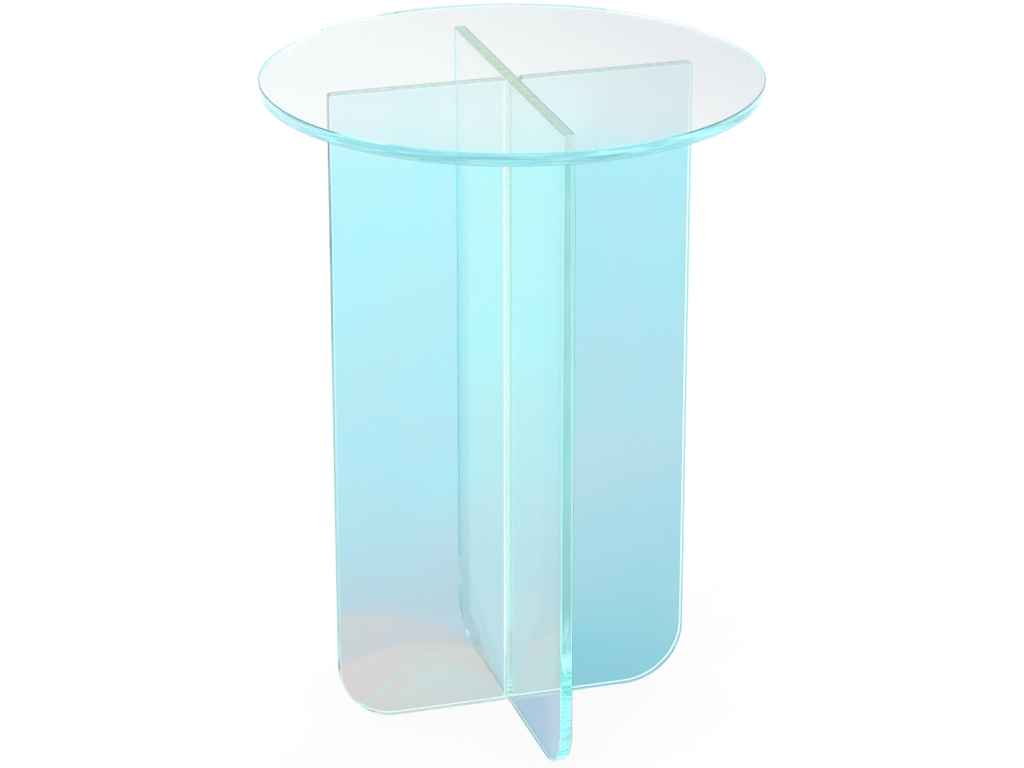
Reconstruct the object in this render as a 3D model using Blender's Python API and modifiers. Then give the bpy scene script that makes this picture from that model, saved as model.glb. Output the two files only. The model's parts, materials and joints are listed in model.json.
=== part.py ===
"""A round glass end table.

A round glass top is bonded to a base of upright glass panels that cross at right angles. The
cross panel runs through from front to back in one piece, and a side panel is bonded to each of
its faces by its inner edge. Every sheet of glass carries an iridescent film on one face. Clear
adhesive fills the joints beside the cross panel and under the top.

Lengths are in metres and +Z is up. The origin lies on the floor, on the line where the panels
cross. The side panels run along X and the cross panel along Y.
"""

import math
from dataclasses import dataclass

import bmesh
import bpy

# Overall sizes
TABLE_HEIGHT = 0.550
TOP_DIAMETER = 0.400
SIDE_PANEL_SPAN = 0.300
CROSS_PANEL_WIDTH = 0.300

# Sheet glass sold as 10 mm, which measures a little less
TOP_THICKNESS = 0.0097
SIDE_PANEL_THICKNESS = 0.0097
CROSS_PANEL_THICKNESS = 0.0097

# Rounded lower outer corners of the panels
SIDE_CORNER_RADIUS = 0.050
CROSS_CORNER_RADIUS = 0.040

# Narrow flats ground along every edge of the glass, so that none is sharp
TOP_ARRIS = 0.0010
PANEL_ARRIS = 0.0008

# Iridescent film: its thickness, its gap to the glass, and its margin inside the ground edges
FILM_THICKNESS = 0.0002
FILM_GAP = 0.0003
FILM_MARGIN = 0.0002

# Clear adhesive: its thickness, its gap to what it joins, and its setback from open ends
BOND_THICKNESS = 0.0003
BOND_GAP = 0.0003
BOND_SETBACK = 0.0020

# Fineness of the round shapes
TOP_STEPS = 240
CORNER_STEPS = 20
WELD_DISTANCE = 0.00001
FLAT_ANGLE = math.radians(0.5)
SHARP_ANGLE = math.radians(30)

# Sizes that follow from the ones above
FULL_TURN = 2 * math.pi
QUARTER_TURN = FULL_TURN / 4
SEAM = BOND_GAP + BOND_THICKNESS + BOND_GAP
FILM_BUILD = FILM_GAP + FILM_THICKNESS
TOP_RADIUS = TOP_DIAMETER / 2
TOP_UNDERSIDE = TABLE_HEIGHT - TOP_THICKNESS
PANEL_HEIGHT = TOP_UNDERSIDE - FILM_BUILD - SEAM
CROSS_LEFT_FACE = -CROSS_PANEL_THICKNESS / 2
CROSS_RIGHT_FACE = CROSS_PANEL_THICKNESS / 2 + FILM_BUILD

# Quarters of a circle, counted anticlockwise from +X, at which a rounding starts
WEST = 2
SOUTH = 3


@dataclass(frozen=True)
class Sheet:
    """The outline of an upright sheet whose lower corners may be rounded."""

    left: float
    right: float
    foot: float
    head: float
    left_radius: float
    right_radius: float

    def inset(self, margin):
        """The same outline with every edge drawn in by margin."""
        return Sheet(
            left=self.left + margin,
            right=self.right - margin,
            foot=self.foot + margin,
            head=self.head - margin,
            left_radius=max(self.left_radius - margin, 0.0),
            right_radius=max(self.right_radius - margin, 0.0),
        )

    def points(self):
        """The outline's points, anticlockwise from the left edge's lower end."""
        low_left = rounding(
            self.left + self.left_radius, self.foot + self.left_radius, self.left_radius, WEST
        )
        low_right = rounding(
            self.right - self.right_radius, self.foot + self.right_radius, self.right_radius, SOUTH
        )
        return low_left + low_right + [(self.right, self.head), (self.left, self.head)]


class Table:
    """The collection and the origin that every sub-part belongs to."""

    def __init__(self, name):
        self.collection = bpy.data.collections.new(name)
        self.origin = bpy.data.objects.new("table_origin", None)
        bpy.context.scene.collection.children.link(self.collection)
        self.collection.objects.link(self.origin)

    def add(self, name, mesh, material, location, turn=(0.0, 0.0, 0.0)):
        """Adds one sub-part at its place."""
        mesh.materials.append(material)
        part = bpy.data.objects.new(name, mesh)
        part.location = location
        part.rotation_euler = turn
        part.parent = self.origin
        self.collection.objects.link(part)
        return part


def rounding(centre_x, centre_y, radius, quarter):
    """Points round a quarter circle, anticlockwise; a radius of 0 gives one square corner."""
    if radius == 0.0:
        return [(centre_x, centre_y)]
    points = []
    for step in range(CORNER_STEPS + 1):
        angle = QUARTER_TURN * (quarter + step / CORNER_STEPS)
        points.append((centre_x + radius * math.cos(angle), centre_y + radius * math.sin(angle)))
    return points


def clear_scene():
    """Removes whatever objects the scene opened with."""
    for existing in list(bpy.data.objects):
        bpy.data.objects.remove(existing, do_unlink=True)


def make_material(name, colour, roughness, refraction):
    """A clear Principled material; none of the parts is a metal."""
    material = bpy.data.materials.new(name)
    material.use_nodes = True
    shader = material.node_tree.nodes["Principled BSDF"]
    shader.inputs["Base Color"].default_value = (*colour, 1.0)
    shader.inputs["Metallic"].default_value = 0.0
    shader.inputs["Roughness"].default_value = roughness
    shader.inputs["Transmission Weight"].default_value = 1.0
    shader.inputs["IOR"].default_value = refraction
    material.diffuse_color = (*colour, 1.0)
    return material


def evaluated_mesh(source, name):
    """The mesh that an object's curve or modifiers make; the object itself is used up."""
    bpy.context.scene.collection.objects.link(source)
    bpy.context.view_layer.update()
    depsgraph = bpy.context.evaluated_depsgraph_get()
    mesh = bpy.data.meshes.new_from_object(source.evaluated_get(depsgraph))
    mesh.name = name
    bpy.data.objects.remove(source, do_unlink=True)
    return mesh


def weld_and_flatten(mesh):
    """Joins the loose rims, makes each flat side one face, and shades the rounds smooth."""
    shape = bmesh.new()
    shape.from_mesh(mesh)
    bmesh.ops.remove_doubles(shape, verts=shape.verts, dist=WELD_DISTANCE)
    bmesh.ops.dissolve_limit(
        shape,
        angle_limit=FLAT_ANGLE,
        verts=shape.verts,
        edges=shape.edges,
    )
    bmesh.ops.recalc_face_normals(shape, faces=shape.faces)
    shape.to_mesh(mesh)
    shape.free()
    mesh.shade_smooth()
    mesh.set_sharp_from_angle(angle=SHARP_ANGLE)


def turned_mesh(name, profile):
    """A solid turned about Z from a profile that runs down its outer side."""
    outline = bpy.data.meshes.new(name + "_profile")
    links = [(index, index + 1) for index in range(len(profile) - 1)]
    outline.from_pydata([(radius, 0.0, height) for radius, height in profile], links, [])
    source = bpy.data.objects.new(name + "_profile", outline)
    screw = source.modifiers.new("turn", "SCREW")
    screw.axis = "Z"
    screw.angle = FULL_TURN
    screw.steps = TOP_STEPS
    screw.render_steps = TOP_STEPS
    screw.use_merge_vertices = True
    screw.merge_threshold = WELD_DISTANCE
    mesh = evaluated_mesh(source, name)
    bpy.data.meshes.remove(outline)
    weld_and_flatten(mesh)
    return mesh


def sheet_mesh(name, sheet, thickness):
    """A flat sheet with square edges, centred on its own middle plane."""
    drawing = bpy.data.curves.new(name + "_outline", "CURVE")
    drawing.dimensions = "2D"
    drawing.fill_mode = "BOTH"
    drawing.extrude = thickness / 2
    outline = sheet.points()
    spline = drawing.splines.new("POLY")
    spline.points.add(len(outline) - 1)
    for point, (across, up) in zip(spline.points, outline):
        point.co = (across, up, 0.0, 1.0)
    spline.use_cyclic_u = True
    mesh = evaluated_mesh(bpy.data.objects.new(name + "_outline", drawing), name)
    bpy.data.curves.remove(drawing)
    weld_and_flatten(mesh)
    return mesh


def strip_mesh(name, size):
    """A straight strip, centred on its own origin."""
    mesh = bpy.data.meshes.new(name)
    shape = bmesh.new()
    bmesh.ops.create_cube(shape, size=1.0)
    bmesh.ops.scale(shape, vec=size, verts=shape.verts)
    shape.to_mesh(mesh)
    shape.free()
    return mesh


def grind_edges(part, arris):
    """Takes a narrow flat off every edge of a sheet of glass."""
    bevel = part.modifiers.new("arris", "BEVEL")
    bevel.width = arris
    bevel.segments = 1
    bevel.limit_method = "ANGLE"
    bevel.angle_limit = SHARP_ANGLE


def left_panel_sheet():
    """The side panel that stands against the cross panel's left face."""
    return Sheet(
        left=-SIDE_PANEL_SPAN / 2,
        right=CROSS_LEFT_FACE - SEAM,
        foot=0.0,
        head=PANEL_HEIGHT,
        left_radius=SIDE_CORNER_RADIUS,
        right_radius=0.0,
    )


def right_panel_sheet():
    """The side panel that stands against the film on the cross panel's right face."""
    return Sheet(
        left=CROSS_RIGHT_FACE + SEAM,
        right=SIDE_PANEL_SPAN / 2,
        foot=0.0,
        head=PANEL_HEIGHT,
        left_radius=0.0,
        right_radius=SIDE_CORNER_RADIUS,
    )


def cross_panel_sheet():
    """The panel that runs through from front to back."""
    return Sheet(
        left=-CROSS_PANEL_WIDTH / 2,
        right=CROSS_PANEL_WIDTH / 2,
        foot=0.0,
        head=PANEL_HEIGHT,
        left_radius=CROSS_CORNER_RADIUS,
        right_radius=CROSS_CORNER_RADIUS,
    )


def build_top(table):
    """The round top, with a flat rim between two arrises."""
    rim = TOP_RADIUS - TOP_ARRIS
    profile = [
        (0.0, TOP_THICKNESS),
        (rim, TOP_THICKNESS),
        (TOP_RADIUS, TOP_THICKNESS - TOP_ARRIS),
        (TOP_RADIUS, TOP_ARRIS),
        (rim, 0.0),
        (0.0, 0.0),
    ]
    glass = make_material("top_glass", (0.90, 0.97, 0.96), 0.02, 1.5)
    mesh = turned_mesh("table_top", profile)
    table.add("table_top", mesh, glass, (0.0, 0.0, TOP_UNDERSIDE))


def build_top_film(table):
    """The film under the top, which ends inside the lower arris."""
    radius = TOP_RADIUS - TOP_ARRIS - FILM_MARGIN
    profile = [(0.0, FILM_THICKNESS), (radius, FILM_THICKNESS), (radius, 0.0), (0.0, 0.0)]
    film = make_material("top_film", (0.92, 0.94, 0.96), 0.03, 1.6)
    mesh = turned_mesh("top_film", profile)
    table.add("top_film", mesh, film, (0.0, 0.0, TOP_UNDERSIDE - FILM_BUILD))


def build_side_panels(table):
    """The two panels along X, each with its film on the back face."""
    upright = (QUARTER_TURN, 0.0, 0.0)
    back = SIDE_PANEL_THICKNESS / 2 + FILM_GAP + FILM_THICKNESS / 2
    glass = make_material("side_panel_glass", (0.84, 0.96, 0.97), 0.02, 1.5)
    film = make_material("side_panel_film", (0.60, 0.88, 0.94), 0.03, 1.6)
    for name, sheet in {
        "left_panel": left_panel_sheet(),
        "right_panel": right_panel_sheet(),
    }.items():
        mesh = sheet_mesh(name, sheet, SIDE_PANEL_THICKNESS)
        panel = table.add(name, mesh, glass, (0.0, 0.0, 0.0), upright)
        grind_edges(panel, PANEL_ARRIS)
        outline = sheet.inset(PANEL_ARRIS + FILM_MARGIN)
        mesh = sheet_mesh(name + "_film", outline, FILM_THICKNESS)
        table.add(name + "_film", mesh, film, (0.0, back, 0.0), upright)


def build_cross_panel(table):
    """The panel along Y, with its film on the right face."""
    upright = (QUARTER_TURN, 0.0, QUARTER_TURN)
    glass = make_material("cross_panel_glass", (0.88, 0.97, 0.96), 0.02, 1.5)
    mesh = sheet_mesh("cross_panel", cross_panel_sheet(), CROSS_PANEL_THICKNESS)
    panel = table.add("cross_panel", mesh, glass, (0.0, 0.0, 0.0), upright)
    grind_edges(panel, PANEL_ARRIS)
    outline = cross_panel_sheet().inset(PANEL_ARRIS + FILM_MARGIN)
    film = make_material("cross_panel_film", (0.66, 0.90, 0.88), 0.03, 1.6)
    mesh = sheet_mesh("cross_panel_film", outline, FILM_THICKNESS)
    side = CROSS_PANEL_THICKNESS / 2 + FILM_GAP + FILM_THICKNESS / 2
    table.add("cross_panel_film", mesh, film, (side, 0.0, 0.0), upright)


def build_top_bonds(table, adhesive):
    """Adhesive on the head edges, one strip for each panel."""
    height = PANEL_HEIGHT + SEAM / 2
    cross_flat = CROSS_PANEL_THICKNESS - 2 * PANEL_ARRIS
    side_flat = SIDE_PANEL_THICKNESS - 2 * PANEL_ARRIS
    cross_size = (cross_flat, CROSS_PANEL_WIDTH - 2 * BOND_SETBACK, BOND_THICKNESS)
    mesh = strip_mesh("cross_top_bond", cross_size)
    table.add("cross_top_bond", mesh, adhesive, (0.0, 0.0, height))
    for name, sheet in {
        "left_top_bond": left_panel_sheet(),
        "right_top_bond": right_panel_sheet(),
    }.items():
        size = (sheet.right - sheet.left - 2 * BOND_SETBACK, side_flat, BOND_THICKNESS)
        middle = (sheet.left + sheet.right) / 2
        table.add(name, strip_mesh(name, size), adhesive, (middle, 0.0, height))


def build_side_bonds(table, adhesive):
    """Adhesive between the side panels' inner edges and the cross panel."""
    side_flat = SIDE_PANEL_THICKNESS - 2 * PANEL_ARRIS
    size = (BOND_THICKNESS, side_flat, PANEL_HEIGHT - 2 * BOND_SETBACK)
    for name, across in {
        "left_side_bond": CROSS_LEFT_FACE - SEAM / 2,
        "right_side_bond": CROSS_RIGHT_FACE + SEAM / 2,
    }.items():
        table.add(name, strip_mesh(name, size), adhesive, (across, 0.0, PANEL_HEIGHT / 2))


def build_table():
    """Builds every sub-part under one origin on the floor."""
    clear_scene()
    table = Table("glass_end_table")
    adhesive = make_material("adhesive", (0.93, 0.97, 0.96), 0.08, 1.48)
    build_top(table)
    build_top_film(table)
    build_cross_panel(table)
    build_side_panels(table)
    build_top_bonds(table, adhesive)
    build_side_bonds(table, adhesive)


build_table()
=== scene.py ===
"""The finished look of a round glass end table on crossed glass panels.

The sheets of clear glass and the films on the upright ones are built again here, with polished
rims, narrow ground arrises and smooth corners. The film under the top and the strips of adhesive
keep the shapes they already have and get their own finishes. Lengths are in metres and +Z is up.
"""

import json
import logging
import math
from dataclasses import dataclass, replace
from enum import Enum
from typing import Any, Mapping

import bmesh
import bpy
from bpy.types import ID, ColorRamp, Material, Mesh, Node, NodeSocket, NodeTree, Object
from mathutils import Euler, Matrix, Vector

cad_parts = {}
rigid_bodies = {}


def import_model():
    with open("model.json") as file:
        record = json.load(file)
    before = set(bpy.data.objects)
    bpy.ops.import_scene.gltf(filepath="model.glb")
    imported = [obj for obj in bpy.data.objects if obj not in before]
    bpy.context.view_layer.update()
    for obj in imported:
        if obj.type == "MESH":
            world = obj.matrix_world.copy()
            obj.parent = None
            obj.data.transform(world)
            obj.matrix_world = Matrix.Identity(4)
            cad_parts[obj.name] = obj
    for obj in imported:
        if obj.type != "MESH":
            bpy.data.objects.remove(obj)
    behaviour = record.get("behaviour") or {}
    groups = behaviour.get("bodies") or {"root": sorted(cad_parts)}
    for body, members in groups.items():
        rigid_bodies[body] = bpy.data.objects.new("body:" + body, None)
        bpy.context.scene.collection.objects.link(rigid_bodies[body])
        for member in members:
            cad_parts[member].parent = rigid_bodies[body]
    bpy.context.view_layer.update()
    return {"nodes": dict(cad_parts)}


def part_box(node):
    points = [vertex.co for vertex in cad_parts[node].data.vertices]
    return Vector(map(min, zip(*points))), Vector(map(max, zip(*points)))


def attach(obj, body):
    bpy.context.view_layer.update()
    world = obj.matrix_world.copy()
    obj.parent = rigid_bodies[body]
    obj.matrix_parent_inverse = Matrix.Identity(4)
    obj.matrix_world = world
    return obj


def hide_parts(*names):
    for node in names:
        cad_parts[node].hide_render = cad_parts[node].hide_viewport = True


LOG = logging.getLogger("glass_end_table")

# A span is where something begins and ends, and axes are one number for each of X, Y and Z.
Span = tuple[float, float]
Axes = tuple[float, float, float]
Colour = tuple[float, float, float]
Stops = tuple[tuple[float, Colour], ...]

BODY = "root"
BLACK = (0.0, 0.0, 0.0)
WHITE = (1.0, 1.0, 1.0)
ORIGIN = (0.0, 0.0, 0.0)
EVEN = (1.0, 1.0, 1.0)
AVERAGE_NOISE = 0.5
# A Mix node's inputs and output for colours, by number, because its other ones share their names.
MIX_FIRST = 6
MIX_SECOND = 7
MIX_RESULT = 2
QUARTER_TURN = math.pi / 2
SHARP_ANGLE = math.radians(30)
WELD_DISTANCE = 0.000002
GROUND_EDGE = "ground_edge"
RIM_MARK = 1.0
ARRIS_MARK = 0.5
BEYOND_TABLE = (1.0, 1.01)
CORNER_RADIUS = "corner_radius"
CORNER_STEPS = "corner_steps"


# Shader building


@dataclass(frozen=True)
class Signal:
    """One value in a shader, on which the arithmetic operators add Math nodes.

    Args:
        tree: The node tree that the value belongs to.
        socket: The output that carries the value.
    """

    tree: NodeTree
    socket: NodeSocket

    def _math(self, operation: str, first: "Signal | float", second: "Signal | float") -> "Signal":
        """Adds one Math node.

        Args:
            operation: The node's operation.
            first: The value of its first input.
            second: The value of its second input.

        Returns:
            The node's result.
        """
        node = self.tree.nodes.new("ShaderNodeMath")
        node.operation = operation
        for slot, value in zip(node.inputs, (first, second)):
            if isinstance(value, Signal):
                self.tree.links.new(value.socket, slot)
            else:
                slot.default_value = value
        return Signal(self.tree, node.outputs[0])

    def __add__(self, other: "Signal | float") -> "Signal":
        """Returns the sum."""
        return self._math("ADD", self, other)

    def __radd__(self, other: float) -> "Signal":
        """Returns the sum."""
        return self._math("ADD", other, self)

    def __sub__(self, other: "Signal | float") -> "Signal":
        """Returns the difference."""
        return self._math("SUBTRACT", self, other)

    def __rsub__(self, other: float) -> "Signal":
        """Returns the difference from a plain number."""
        return self._math("SUBTRACT", other, self)

    def __mul__(self, other: "Signal | float") -> "Signal":
        """Returns the product."""
        return self._math("MULTIPLY", self, other)

    def __rmul__(self, other: float) -> "Signal":
        """Returns the product."""
        return self._math("MULTIPLY", other, self)

    def __truediv__(self, other: "Signal | float") -> "Signal":
        """Returns the quotient."""
        return self._math("DIVIDE", self, other)

    def __abs__(self) -> "Signal":
        """Returns the value without its sign."""
        return self._math("ABSOLUTE", self, 0.0)

    def lowest(self, other: "Signal | float") -> "Signal":
        """Returns the smaller of the two values."""
        return self._math("MINIMUM", self, other)

    def highest(self, other: "Signal | float") -> "Signal":
        """Returns the larger of the two values."""
        return self._math("MAXIMUM", self, other)


@dataclass(frozen=True)
class Pattern:
    """Noise on Object coordinates.

    Args:
        scale: How many waves fit in a metre.
        detail: How many finer octaves it has.
        stretch: How the scale differs along each axis.
        span: The noise at which its patches begin and have fully begun.
    """

    scale: float
    detail: float
    stretch: Axes = EVEN
    span: Span = (0.0, 1.0)

    def stretched(self, *stretch: float) -> "Pattern":
        """Returns the same pattern, stretched in another way."""
        return replace(self, stretch=stretch)


class Sketch:
    """Adds nodes to the tree of a material or a world.

    Args:
        tree: The tree to add to.
    """

    def __init__(self, tree: NodeTree) -> None:
        """Keeps the tree."""
        self.tree = tree

    def node(
        self,
        kind: str,
        settings: Mapping[str, Any] | None = None,
        sockets: Mapping[str | int, Any] | None = None,
    ) -> Node:
        """Adds one node.

        Args:
            kind: The node's type.
            settings: Its properties, set first; "stops" fills a colour ramp.
            sockets: A value, a socket or a signal for each named or numbered input.

        Returns:
            The new node.
        """
        node = self.tree.nodes.new(kind)
        for name, value in (settings or {}).items():
            if name == "stops":
                fill_ramp(node.color_ramp, value)
            else:
                setattr(node, name, value)
        for key, value in (sockets or {}).items():
            self.feed(node.inputs[key], value)
        return node

    def feed(self, slot: NodeSocket, value: Any) -> None:
        """Links a socket or a signal to an input, or sets a plain value on it.

        Args:
            slot: The input.
            value: A signal, a socket, a number or a colour.
        """
        if isinstance(value, Signal):
            self.tree.links.new(value.socket, slot)
        elif isinstance(value, NodeSocket):
            self.tree.links.new(value, slot)
        elif slot.type == "RGBA" and len(value) == 3:
            slot.default_value = (*value, 1.0)
        else:
            slot.default_value = value

    def signal(self, socket: NodeSocket) -> Signal:
        """Returns the socket as a value that takes operators."""
        return Signal(self.tree, socket)

    def place(self) -> tuple[Signal, Signal, Signal]:
        """Reads where the shaded point is.

        Returns:
            Its three Object coordinates.
        """
        source = self.node("ShaderNodeTexCoord")
        parts = self.node("ShaderNodeSeparateXYZ", sockets={0: source.outputs["Object"]})
        return tuple(self.signal(part) for part in parts.outputs)

    def mapped(self, stretch: Axes, centre: Axes = ORIGIN) -> NodeSocket:
        """Returns Object coordinates measured from a centre and stretched.

        Args:
            stretch: How each axis is scaled.
            centre: The point that becomes the origin.

        Returns:
            The coordinates.
        """
        source = self.node("ShaderNodeTexCoord")
        offset = tuple(-place * scale for place, scale in zip(centre, stretch))
        mapping = self.node(
            "ShaderNodeMapping",
            sockets={"Vector": source.outputs["Object"], "Scale": stretch, "Location": offset},
        )
        return mapping.outputs[0]

    def noise(self, pattern: Pattern) -> Signal:
        """Adds a noise pattern.

        Args:
            pattern: Its scale, detail and stretch.

        Returns:
            The noise, about 0.5 on average.
        """
        place = self.mapped(pattern.stretch)
        sockets = {"Vector": place, "Scale": pattern.scale, "Detail": pattern.detail}
        return self.signal(self.node("ShaderNodeTexNoise", sockets=sockets).outputs[0])

    def patches(self, pattern: Pattern) -> Signal:
        """Returns a pattern's patches, 1 on them and 0 between them."""
        return self.rise(self.noise(pattern), *pattern.span)

    def drift(self, pattern: Pattern) -> Signal:
        """Returns how far a pattern's noise is from its average."""
        return self.noise(pattern) - AVERAGE_NOISE

    def rise(self, value: Signal, start: float, end: float) -> Signal:
        """Turns a value into a smooth step.

        Args:
            value: What is measured.
            start: Where the step is still 0.
            end: Where the step has reached 1.

        Returns:
            The step, from 0 to 1.
        """
        node = self.node(
            "ShaderNodeMapRange",
            {"interpolation_type": "SMOOTHSTEP"},
            {"Value": value, "From Min": start, "From Max": end},
        )
        return self.signal(node.outputs[0])

    def attribute(self, name: str) -> Signal:
        """Returns a value stored on the piece's own mesh."""
        node = self.node("ShaderNodeAttribute", {"attribute_name": name})
        return self.signal(node.outputs["Fac"])

    def ramp(self, value: Signal, stops: Stops) -> NodeSocket:
        """Returns the colour that a row of stops gives for a value."""
        return self.node("ShaderNodeValToRGB", {"stops": stops}, {0: value}).outputs[0]

    def blend(
        self, share: Signal | float, first: Any, second: Any, kind: str = "MIX"
    ) -> NodeSocket:
        """Mixes two colours.

        Args:
            share: How much of the second colour there is.
            first: The first colour.
            second: The second colour.
            kind: How the second colour acts on the first.

        Returns:
            The mixed colour.
        """
        settings = {"data_type": "RGBA", "blend_type": kind}
        given = {"Factor": share, MIX_FIRST: first, MIX_SECOND: second}
        return self.node("ShaderNodeMix", settings, given).outputs[MIX_RESULT]

    def multiply(self, first: Any, second: Any) -> NodeSocket:
        """Returns the product of two colours."""
        return self.blend(1.0, first, second, "MULTIPLY")


def fill_ramp(ramp: ColorRamp, stops: Stops) -> None:
    """Sets a colour ramp's stops.

    Args:
        ramp: The ramp, which has two stops so far.
        stops: The stops, at least two, from the lowest to the highest.
    """
    while len(ramp.elements) < len(stops):
        ramp.elements.new(1.0)
    for element, (position, colour) in zip(ramp.elements, stops):
        element.position = position
        element.color = (*colour, 1.0)


def new_material(name: str) -> tuple[Material, Sketch, Node, Node]:
    """Makes a material with a Principled shader.

    Args:
        name: The material's name.

    Returns:
        The material, its sketch, its Principled node and its output node.
    """
    material = bpy.data.materials.new(name)
    material.use_nodes = True
    nodes = material.node_tree.nodes
    sketch = Sketch(material.node_tree)
    return material, sketch, nodes["Principled BSDF"], nodes["Material Output"]


# Finishes


@dataclass(frozen=True)
class PaintedEdgeLight:
    """Painted light on a sheet's edges: an emission that stands for the light they gather from the
    whole sheet and give off, and for their highlights.

    Args:
        streak_highlight: The painted highlight of the streaks on a polished edge.
        arris: The painted glow of the flats along the edges.
        ends: The painted highlight towards the sheet's left and right ends.
        ends_shift: How far the middle between those ends lies to the left.
        ends_edges: Where their glow begins and ends to fade in.
        ends_rest: How much of it there is between the streaks.
        foot_dim: The painted glow between the bands at the foot of the front end.
        foot_highlight: The painted highlight of the bands.
        foot_edges: Where they begin and end to fade.
        back_corner_highlight: The painted highlight of the polished edge at the rounded corner at the
            back.
        back_start: Where along Y that corner begins and has fully begun.
        back_edges: Where up Z it begins and ends to fade.
        back_rest: How much of its glow there is between the streaks.
        streaks: The pattern of the streaks.
        bands: The pattern of the bands.
    """

    streak_highlight: Colour = BLACK
    arris: Colour = (0.15, 0.18, 0.19)
    ends: Colour = BLACK
    ends_shift: float = 0.02
    ends_edges: Span = (0.150, 0.185)
    ends_rest: float = 0.5
    foot_dim: Colour = BLACK
    foot_highlight: Colour = BLACK
    foot_edges: Span = (0.105, 0.115)
    back_corner_highlight: Colour = BLACK
    back_start: Span = (0.105, 0.120)
    back_edges: Span = (0.030, 0.060)
    back_rest: float = 0.4
    streaks: Pattern = Pattern(600.0, 2.0, (1.0, 1.0, 0.05), (0.44, 0.66))
    bands: Pattern = Pattern(600.0, 1.0, (0.08, 0.08, 0.6), (0.38, 0.62))

    def colour(
        self, sketch: Sketch, rim_face: Signal, arris: Signal, behind: Signal
    ) -> NodeSocket:
        """Builds the colour of the painted light.

        Args:
            sketch: What adds the nodes.
            rim_face: 1 on the polished edges.
            arris: 1 on the flats along them.
            behind: 1 behind the front end.

        Returns:
            The colour, black on the broad faces.
        """
        across, along, up = sketch.place()
        # Painted highlight on the streaks of the polished edges.
        streaks = sketch.patches(self.streaks)
        rim = sketch.blend(streaks, BLACK, self.streak_highlight)
        # Painted highlight towards the left and right ends.
        if any(self.ends):
            share = sketch.rise(abs(across + self.ends_shift), *self.ends_edges)
            rim = sketch.blend(share * (self.ends_rest + streaks), rim, self.ends)
        # Painted highlight in bands at the foot of the front end.
        if any(self.foot_highlight):
            bands = sketch.patches(self.bands)
            foot = sketch.blend(bands, self.foot_dim, self.foot_highlight)
            elsewhere = sketch.rise(up, *self.foot_edges).highest(behind)
            rim = sketch.blend(elsewhere, foot, rim)
        # Painted highlight at the rounded corner at the back.
        if any(self.back_corner_highlight):
            below = 1.0 - sketch.rise(up, *self.back_edges)
            corner = sketch.rise(along, *self.back_start) * below * (self.back_rest + streaks)
            rim = sketch.blend(corner, rim, self.back_corner_highlight)
        return sketch.blend(arris, sketch.blend(rim_face, BLACK, rim), self.arris)


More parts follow.
